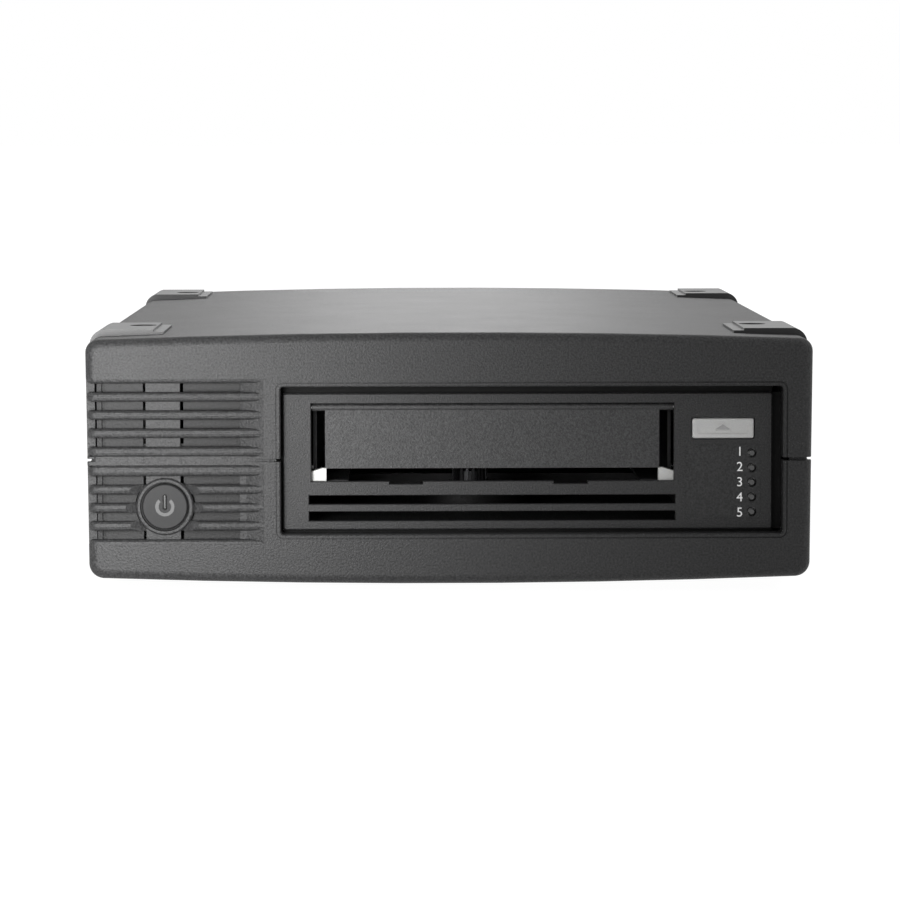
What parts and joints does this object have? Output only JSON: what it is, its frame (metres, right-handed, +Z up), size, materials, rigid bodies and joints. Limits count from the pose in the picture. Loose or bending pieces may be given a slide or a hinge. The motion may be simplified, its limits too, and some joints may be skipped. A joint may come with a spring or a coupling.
{
  "type": "external tape drive",
  "caption": "Tabletop cartridge tape drive: two-part plastic case with louvred corner, stacking pads, power button, and a half-height drive with a flap door, eject key and lights.",
  "frame": {"origin": "on the ground under the middle of the case", "axes": "+X to the right seen from the front, +Y from the front face to the rear face, +Z up"},
  "size_m": [0.219, 0.33, 0.0792],
  "materials": {
    "case_plastic": "satin fine-grained charcoal moulding",
    "baffle_plastic": "satin charcoal moulding",
    "pad_plastic": "smooth charcoal moulding",
    "foot_rubber": "soft black rubber",
    "button_plastic": "smooth satin grey",
    "bezel_plastic": "fine matt near-black",
    "door_plastic": "fine matt near-black",
    "eject_plastic": "light grey satin",
    "light_plastic": "smoked clear",
    "white_plastic": "natural white acetal",
    "black_plastic": "black moulding",
    "board_laminate": "green laminate",
    "plated_steel": "zinc-plated sheet",
    "rear_steel": "charcoal powder coat",
    "cast_alloy": "die-cast",
    "screw_steel": "black zinc",
    "clutch_steel": "sintered steel",
    "reel_plastic": "translucent grey",
    "roller_steel": "ground",
    "head_ceramic": "lapped ceramic",
    "pin_brass": "nickel over brass",
    "cable_black": "black jacket"
  },
  "bodies": {
    "housing": {"base_pad_front_left": "pad_plastic", "base_pad_front_right": "pad_plastic", "base_pad_rear_left": "pad_plastic", "base_pad_rear_right": "pad_plastic", "cartridge_guides": "white_plastic", "case_screws": "screw_steel", "cradle_guides": "plated_steel", "data_cable": "cable_black", "data_port": "plated_steel", "door_hinge_pin": "plated_steel", "drive_bezel": "bezel_plastic", "drive_chassis": "cast_alloy", "drive_connector": "black_plastic", "drive_lid": "plated_steel", "drive_screws": "screw_steel", "drive_tray": "plated_steel", "eject_switch": "black_plastic", "fan_frame": "black_plastic", "fan_screws": "screw_steel", "front_board": "board_laminate", "head_base": "cast_alloy", "inlet_pins": "pin_brass", "lower_shell": "case_plastic", "main_board": "board_laminate", "power_cable": "cable_black", "power_inlet": "black_plastic", "power_switch": "black_plastic", "rear_panel": "rear_steel", "rear_screws": "screw_steel", "reel_motor": "plated_steel", "roller_posts": "plated_steel", "rubber_feet": "foot_rubber", "stacking_pad_front_left": "pad_plastic", "stacking_pad_front_right": "pad_plastic", "stacking_pad_rear_left": "pad_plastic", "stacking_pad_rear_right": "pad_plastic", "status_light_pipes": "light_plastic", "supply_board": "board_laminate", "supply_case": "plated_steel", "take_up_motor": "plated_steel", "upper_shell": "case_plastic", "vent_baffle_lower": "baffle_plastic", "vent_baffle_upper": "baffle_plastic"},
    "power_button": {"power_button": "button_plastic"},
    "eject_button": {"eject_button": "eject_plastic"},
    "cartridge_door": {"cartridge_door": "door_plastic"},
    "loader_slide": {"loader_slide": "plated_steel"},
    "cartridge_cradle": {"cartridge_cradle": "plated_steel", "cradle_pins": "plated_steel"},
    "reel_clutch": {"reel_clutch": "clutch_steel"},
    "take_up_reel": {"take_up_reel": "reel_plastic"},
    "head_carriage": {"head_carriage": "head_ceramic"},
    "fan_rotor": {"fan_rotor": "black_plastic"},
    "guide_roller_1": {"guide_roller_1": "roller_steel"},
    "guide_roller_2": {"guide_roller_2": "roller_steel"},
    "guide_roller_3": {"guide_roller_3": "roller_steel"},
    "guide_roller_4": {"guide_roller_4": "roller_steel"}
  },
  "joints": [
    {"name": "power_button_press", "type": "slide", "parent": "housing", "child": "power_button", "axis": [0, 1, 0], "range_m": [0, 0.002], "stiffness_N_per_m": 900, "springref_m": -0.0005},
    {"name": "eject_button_press", "type": "slide", "parent": "housing", "child": "eject_button", "axis": [0, 1, 0], "range_m": [0, 0.001], "stiffness_N_per_m": 1200, "springref_m": -0.0005},
    {"name": "door_swing", "type": "hinge", "parent": "housing", "child": "cartridge_door", "pos_m": [0.01303, -0.15745, 0.05615], "axis": [1, 0, 0], "range_deg": [0, 80], "stiffness_Nm_per_rad": 0.002, "springref_deg": -17.19},
    {"name": "cradle_drop", "type": "slide", "parent": "housing", "child": "cartridge_cradle", "axis": [0, 0, -1], "range_m": [0, 0.004]},
    {"name": "loader_slide_run", "type": "slide", "parent": "housing", "child": "loader_slide", "axis": [0, -1, 0], "range_m": [0, 0.008]},
    {"name": "reel_clutch_spin", "type": "hinge", "parent": "housing", "child": "reel_clutch", "pos_m": [0.007, -0.105, 0.03], "axis": [0, 0, 1], "continuous": true},
    {"name": "take_up_reel_spin", "type": "hinge", "parent": "housing", "child": "take_up_reel", "pos_m": [0.038, -0.005, 0.04], "axis": [0, 0, 1], "continuous": true},
    {"name": "head_carriage_step", "type": "slide", "parent": "housing", "child": "head_carriage", "axis": [0, 0, 1], "range_m": [-0.0012, 0.0012]},
    {"name": "fan_rotor_spin", "type": "hinge", "parent": "housing", "child": "fan_rotor", "pos_m": [-0.058, 0.146, 0.041], "axis": [0, 1, 0], "continuous": true},
    {"name": "guide_roller_1_spin", "type": "hinge", "parent": "housing", "child": "guide_roller_1", "pos_m": [-0.036, -0.042, 0.038], "axis": [0, 0, 1], "continuous": true},
    {"name": "guide_roller_2_spin", "type": "hinge", "parent": "housing", "child": "guide_roller_2", "pos_m": [-0.024, -0.033, 0.038], "axis": [0, 0, 1], "continuous": true},
    {"name": "guide_roller_3_spin", "type": "hinge", "parent": "housing", "child": "guide_roller_3", "pos_m": [-0.024, -0.005, 0.038], "axis": [0, 0, 1], "continuous": true},
    {"name": "guide_roller_4_spin", "type": "hinge", "parent": "housing", "child": "guide_roller_4", "pos_m": [-0.014, 0.008, 0.038], "axis": [0, 0, 1], "continuous": true}
  ],
  "couplings": [
    {"joint": "loader_slide_run", "follows": "cradle_drop", "ratio": 2}
  ]
}
